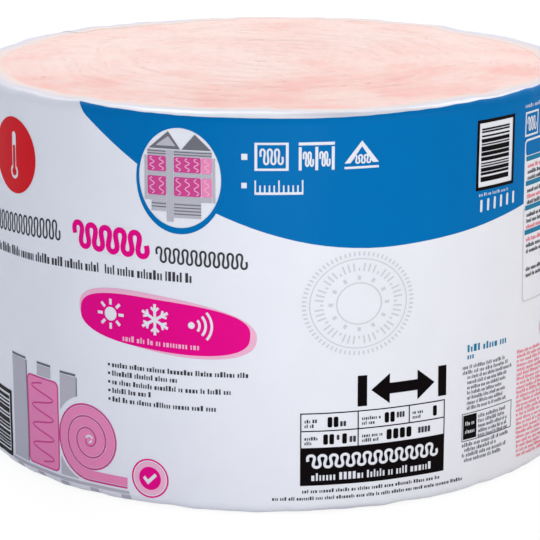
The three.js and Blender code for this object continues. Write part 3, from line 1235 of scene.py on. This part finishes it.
class ROLL_OT_data_table(bpy.types.Operator):
    """Print the thickness sign, the ruled table with its black strip and the lines below"""

    bl_idname = "insulation_roll.data_table"
    bl_label = "Data table"

    def execute(self, context):
        rng = random.Random(21)
        middle, left, right, line = 118.0, 25.0, 170.3, 1.1
        half = ((111, 14.5), (111, 5.2), (140, 5.2), (140, 14.5))
        arrow = [(92.5, middle)] + [(x, middle + rise) for x, rise in half]
        arrow += [(158.5, middle)] + [(x, middle - rise) for x, rise in reversed(half)]
        sign = [rectangle(79.2, 103.2, 88.4, 132.8), arrow, rectangle(162.6, 103.2, 171.8, 132.8)]
        ruled = [rectangle(left, high - line, right, high) for high in (99.4, 82.4)]
        ruled += [rectangle(left, 65.6, left + line, 98.3), rectangle(right - line, 65.6, right, 98.3)]
        ruled += [rectangle(79.2, 65.6, 80.3, 98.3), rectangle(130.9, 82.4, 132.0, 98.3)]
        labels, figures = [], []
        upper, lower = ((29, 13), (83.5, 20), (135, 12)), ((29, 13), (83.5, 21))
        for x, width, low in [(*cell, 84.2) for cell in upper] + [(*cell, 67.4) for cell in lower]:
            labels += fine_print(rng, x, x + width, low + 5.6, 3.4, 0.0, 0.32)
            labels += fine_print(rng, x, x + width * 0.8, low + 1.0, 3.4, 0.0, 0.32)
        for x, low, count, wide in (
            (50.5, 85.0, 2, 4.4),
            (106, 85.0, 2, 4.4),
            (157, 85.0, 1, 4.2),
            (46.5, 68.4, 2, 4.4),
            (64.5, 68.4, 1, 4.4),
            (108, 68.4, 4, 5.2),
        ):
            figures += figure_bars(x, low, count, wide, 10.0)
        for x, low, count, wide, tall in (
            (62.4, 85.4, 2, 2.4, 5.0),
            (118.4, 88.5, 3, 2.2, 5.6),
            (59.2, 72.4, 1, 2.6, 5.0),
            (71.5, 69.4, 2, 2.6, 6.0),
            (141, 70.4, 4, 2.6, 6.0),
        ):
            labels += figure_bars(x, low, count, wide, tall)
        hatch = batt_hatch(32.5, 161.5, 52.2, 14.5, 11.0, 2.8)
        small = fine_print(rng, 35.5, 156, 33.2, 7.4, 0.0, 0.26)
        strip = ([rectangle(left, 28.7, right, 65.6)], [hatch] + small)
        labels += fine_print(rng, 27, 169.5, 21.4, 3.6, 0.0, 0.33)
        labels += fine_print(rng, -1, 196, 14.6, 3.5, 0.0, 0.32)
        layers = [("black", [(sign, []), (ruled + figures, []), strip]), ("grey", [(labels, [])])]
        print_on_film("print_data_table", layers)
        return {"FINISHED"}


class ROLL_OT_side_columns(bpy.types.Operator):
    """Print the side panel's rows, the column of fine print and the pink column"""

    bl_idname = "insulation_roll.side_columns"
    bl_label = "Side columns"

    def execute(self, context):
        rng = random.Random(34)
        left, _, right, _ = SIDE_PANEL
        rules, rows, warm = [], [], []
        for n, y in enumerate((312.0, 288.0, 264.0, 240.0)):
            rules.append(rectangle(left + 3, y, right - 3, y + 4.6))
            for k in range(3):
                target = warm if k == n % 3 else rows
                target += fine_print(rng, left + 6, right - 6, y - 6.8 - 5.8 * k, 4.0)
        for k in range(2):
            rows += fine_print(rng, left + 6, right - 14, 204.0 - 6.0 * k, 4.0)
        outline = ([rounded(276.5, 174, 352, 268, 5.0)], [rounded(277.7, 175.2, 350.8, 266.8, 4.2)])
        layers = [("teal", [(rules, [])]), ("grey", [(rows, [])]), ("rose", [(warm, [])])]
        print_on_film("print_side_panel", layers, PRINT_LIFT + LAYER_LIFT)
        print_on_film("print_side_outline", [("faint", [outline])])
        heading = fine_print(rng, 197, 258.5, 140.6, 7.0, -0.8, 0.34)
        heading += fine_print(rng, 197, 208, 133.6, 5.4, 0.0, 0.34)
        column = []
        for n in range(9):
            start, bold = (191.5, 0.32) if n < 2 else (197.5, 0.24)
            column += fine_print(rng, start, rng.uniform(246, 262), 124.2 - 5.1 * n, 3.7, 0.0, bold)
        for n in range(5):
            bold = 0.34 if n < 2 else 0.24
            column += fine_print(rng, 213.0, rng.uniform(250, 261), 73.0 - 5.0 * n, 3.7, 0.0, bold)
        for n in range(4):
            column += fine_print(rng, 192.5 + 3 * (n % 2), rng.uniform(240, 261), 47.0 - 5.1 * n, 3.9)
        marks = fine_print(rng, 196, 208, 68, 4.0) + fine_print(rng, 196, 208, 60, 4.0)
        layers = [
            ("teal", [(heading, [])]),
            ("soft", [(column, []), frame_loops(191.6, 52.4, 263.2, 80.4, 0.9)]),
            ("black", [([rectangle(193.4, 54.4, 210.6, 78.4)], marks)]),
        ]
        print_on_film("print_info_column", layers)
        pink = []
        for n in range(24):
            pink += fine_print(rng, 269.5 + n * 0.2, 346, 124.6 - 4.6 * n, 3.6, -4.0, 0.34)
        heat = ([ellipse(333, 142, 18.5, 18.5, 48)], [thermometer(333, 130, 25, 9)])
        print_on_film("print_pink_column", [("rose", [(pink, [])]), ("red", [heat])])
        return {"FINISHED"}


class ROLL_OT_stage(bpy.types.Operator):
    """Set the floor, the light and the camera"""

    bl_idname = "insulation_roll.stage"
    bl_label = "Stage"

    def execute(self, context):
        stage = context.scene.roll_stage
        build_floor(stage)
        build_light(stage)
        build_camera(stage)
        context.scene.view_settings.view_transform = "Standard"
        return {"FINISHED"}


# In metres: the floor lies a hair below the roll's end. What the eye sees of it is mostly an even glow.
FLOOR_SIZE = 14.0
FLOOR_LEVEL = -0.0003
FLOOR_GLOW = 1.13
GLOW_SHARE = 0.8


def seen_rays(add):
    """1 for a ray that the eye sees straight, mirrored or through glass, and 0 for one that only lights."""
    rays = add("LightPath", output="Is Camera Ray").node.outputs
    first = add("Math", {0: rays["Is Camera Ray"], 1: rays["Is Glossy Ray"]}, operation="MAXIMUM")
    return add("Math", {0: first, 1: rays["Is Transmission Ray"]}, operation="MAXIMUM")


def build_floor(stage):
    mesh = bpy.data.meshes.new("floor")
    corners = [(x * FLOOR_SIZE, y * FLOOR_SIZE, FLOOR_LEVEL) for x, y in ((-1, -1), (1, -1), (1, 1), (-1, 1))]
    mesh.from_pydata(corners, [], [(0, 1, 2, 3)])
    material = bpy.data.materials.new("studio_floor_matt_white")
    add = node_adder(material)
    paint = add("BsdfPrincipled", {"Base Color": tuple(stage.floor), "Roughness": 0.9})
    glow = add("Emission", {"Color": (1, 1, 1, 1), "Strength": FLOOR_GLOW})
    share = add("Math", {0: seen_rays(add), 1: GLOW_SHARE}, operation="MULTIPLY")
    add("OutputMaterial", {"Surface": add("MixShader", {0: share, 1: paint, 2: glow})})
    mesh.materials.append(material)
    floor = link_object("floor", mesh)


def build_light(stage):
    world = bpy.data.worlds.new("studio")
    bpy.context.scene.world = world
    add = node_adder(world)
    # The even light is cooler from the left than from the right.
    aside = add("SeparateXYZ", {0: add("TexCoord", output="Generated")}, "X")
    share = add("MapRange", {"Value": aside, "From Min": -1.0})
    tints = {0: share, 6: (0.84, 0.93, 1.12, 1), 7: (0.94, 0.85, 0.73, 1)}
    soft = add("Background", {"Color": add("Mix", tints, 2, data_type="RGBA"), "Strength": stage.sky})
    white = add("Background", {"Color": (1, 1, 1, 1), "Strength": 1.0})
    add("OutputWorld", {"Surface": add("MixShader", {0: seen_rays(add), 1: soft, 2: white})})
    soft_box("key", stage.key, 2.0, (2.62, -1.84, 1.82), (1.0, 0.955, 0.89))
    soft_box("front", stage.front, 0.5, (0.05, -1.12, 0.18), (0.98, 0.99, 1.0))
    soft_box("back", stage.back, 4.4, (-0.3, 4.4, 4.6), (1.0, 0.985, 0.95))


def soft_box(name, power, size, place, colour):
    """A square lamp that faces the middle of the roll."""
    lamp = bpy.data.lights.new(name, "AREA")
    lamp.energy = power
    lamp.size = size
    lamp.color = colour
    obj = link_object(name, lamp)
    obj.location = place
    aim = Vector((0, 0, HEIGHT * MM / 2)) - obj.location
    obj.rotation_euler = aim.to_track_quat("-Z", "Y").to_euler()


def build_camera(stage):
    camera = bpy.data.cameras.new("camera")
    camera.sensor_width = 36.0
    camera.lens = stage.focal
    camera.clip_end = 60.0
    obj = link_object("camera", camera)
    obj.location = (stage.camera_aside, -stage.camera_distance, stage.camera_height)
    obj.rotation_euler = (pi / 2 - stage.camera_pitch, 0.0, 0.0)
    bpy.context.scene.camera = obj


# --- Panel and registration -------------------------------------------------------------------------------

SETTINGS = {
    "roll_wool": WoolSettings,
    "roll_film": FilmSettings,
    "roll_inks": InkSettings,
    "roll_stage": StageSettings,
}
OPERATORS = (
    ROLL_OT_wool,
    ROLL_OT_fibres,
    ROLL_OT_film,
    ROLL_OT_band,
    ROLL_OT_medallion,
    ROLL_OT_bar_panels,
    ROLL_OT_titles,
    ROLL_OT_badge,
    ROLL_OT_roll_sign,
    ROLL_OT_seal,
    ROLL_OT_data_table,
    ROLL_OT_side_columns,
    ROLL_OT_stage,
)


class ROLL_PT_panel(bpy.types.Panel):
    """The roll's sizes, colours and steps"""

    bl_idname = "ROLL_PT_panel"
    bl_label = "Insulation Roll"
    bl_space_type = "VIEW_3D"
    bl_region_type = "UI"
    bl_category = "Insulation"

    def draw(self, context):
        for name, settings in SETTINGS.items():
            box = self.layout.box()
            for value in settings.__annotations__:
                box.prop(getattr(context.scene, name), value)
        for operator in OPERATORS:
            self.layout.operator(operator.bl_idname)


CLASSES = (*SETTINGS.values(), *OPERATORS, ROLL_PT_panel)


def register():
    for cls in CLASSES:
        bpy.utils.register_class(cls)
    for name, settings in SETTINGS.items():
        setattr(bpy.types.Scene, name, PointerProperty(type=settings))


def unregister():
    for name in SETTINGS:
        delattr(bpy.types.Scene, name)
    for cls in reversed(CLASSES):
        bpy.utils.unregister_class(cls)


def main():
    register()
    for operator in OPERATORS:
        getattr(bpy.ops.insulation_roll, operator.bl_idname.split(".")[1])()


if __name__ == "__main__":
    main()
